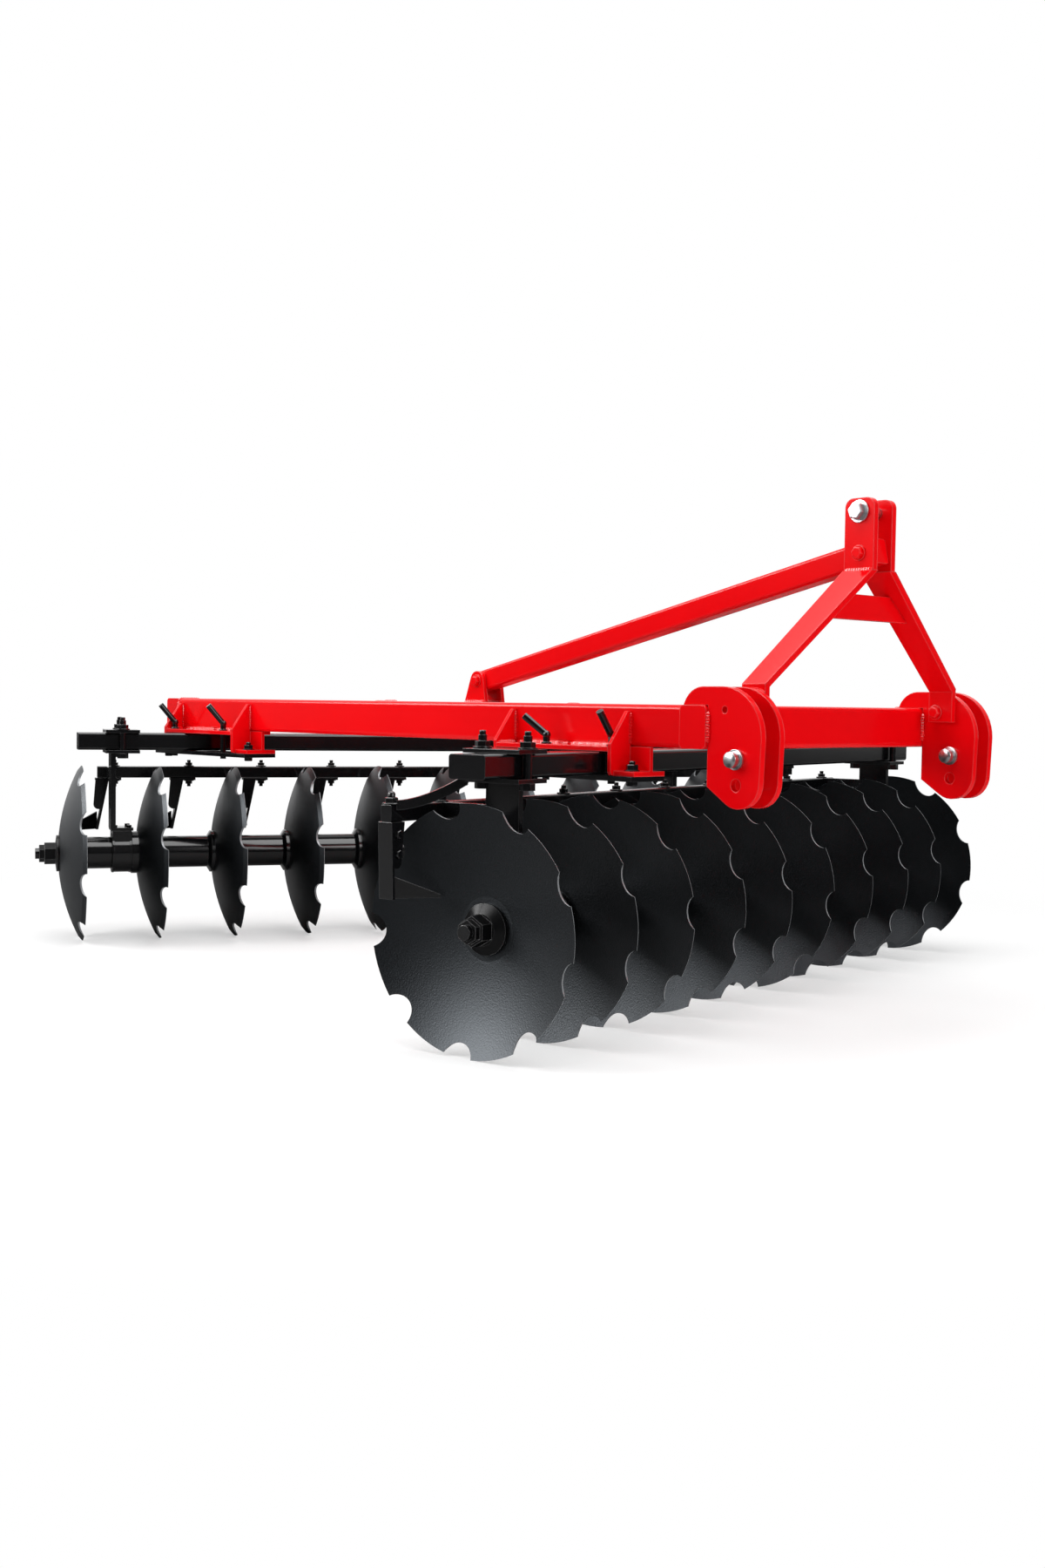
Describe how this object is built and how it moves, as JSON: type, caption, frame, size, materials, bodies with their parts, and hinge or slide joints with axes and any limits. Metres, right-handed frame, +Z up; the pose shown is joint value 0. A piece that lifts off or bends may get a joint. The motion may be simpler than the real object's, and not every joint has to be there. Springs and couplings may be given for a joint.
{
  "type": "mounted offset disc harrow",
  "caption": "Mounted offset disc harrow: a box-tube frame on a three-point hitch carries two angled gangs of notched, dished discs that turn freely under scrapers.",
  "frame": {"origin": "on the ground, in the middle of the footprint", "axes": "+X to the machine's right, +Y forward to the hitch, +Z up"},
  "size_m": [2.4268, 2.7866, 1.272],
  "materials": {
    "red_paint": "gloss",
    "black_paint": "gloss",
    "disc_black": "satin",
    "zinc": "satin"
  },
  "bodies": {
    "frame": {"front_beam": "red_paint", "rear_beam": "red_paint", "side_beam_right": "red_paint", "side_beam_left": "red_paint", "cross_beam": "red_paint", "hitch_plates_right": "red_paint", "hitch_plates_left": "red_paint", "lower_pins": "zinc", "mast_leg_right": "red_paint", "mast_leg_left": "red_paint", "mast_crossbar": "red_paint", "clevis_plates": "red_paint", "top_pin": "zinc", "stay": "red_paint", "stay_lugs": "red_paint", "bracket_flanges": "red_paint", "drop_legs": "red_paint", "keeper_plates": "black_paint", "locking_pins": "black_paint", "pivot_pins": "black_paint"},
    "front_carrier": {"front_gang_beam": "black_paint", "front_clamps": "black_paint", "front_clamp_bolts": "black_paint", "front_hangers": "black_paint", "front_bearings": "black_paint", "front_scraper_brackets": "black_paint", "front_scraper_bar": "black_paint", "front_scrapers": "black_paint"},
    "front_rotor": {"front_shaft": "black_paint", "front_discs": "disc_black", "front_spools": "black_paint", "front_end_nuts": "black_paint"},
    "rear_carrier": {"rear_gang_beam": "black_paint", "rear_clamps": "black_paint", "rear_clamp_bolts": "black_paint", "rear_hangers": "black_paint", "rear_bearings": "black_paint", "rear_scraper_brackets": "black_paint", "rear_scraper_bar": "black_paint", "rear_scrapers": "black_paint"},
    "rear_rotor": {"rear_shaft": "black_paint", "rear_discs": "disc_black", "rear_spools": "black_paint", "rear_end_nuts": "black_paint"}
  },
  "joints": [
    {"name": "front_gang_swing", "type": "hinge", "parent": "frame", "child": "front_carrier", "pos_m": [-0.316, 0.69464, 0.6395], "axis": [0, 0, -1], "range_deg": [0, 5.7]},
    {"name": "rear_gang_swing", "type": "hinge", "parent": "frame", "child": "rear_carrier", "pos_m": [-0.316, -0.59384, 0.6395], "axis": [0, 0, 1], "range_deg": [0, 8.7]},
    {"name": "front_gang_spin", "type": "hinge", "parent": "front_carrier", "child": "front_rotor", "pos_m": [0.165, 0.796, 0.28], "axis": [0.9785, 0.2062, 0], "continuous": true},
    {"name": "rear_gang_spin", "type": "hinge", "parent": "rear_carrier", "child": "rear_rotor", "pos_m": [0.165, -0.8, 0.28], "axis": [0.9191, -0.3939, 0], "continuous": true}
  ]
}
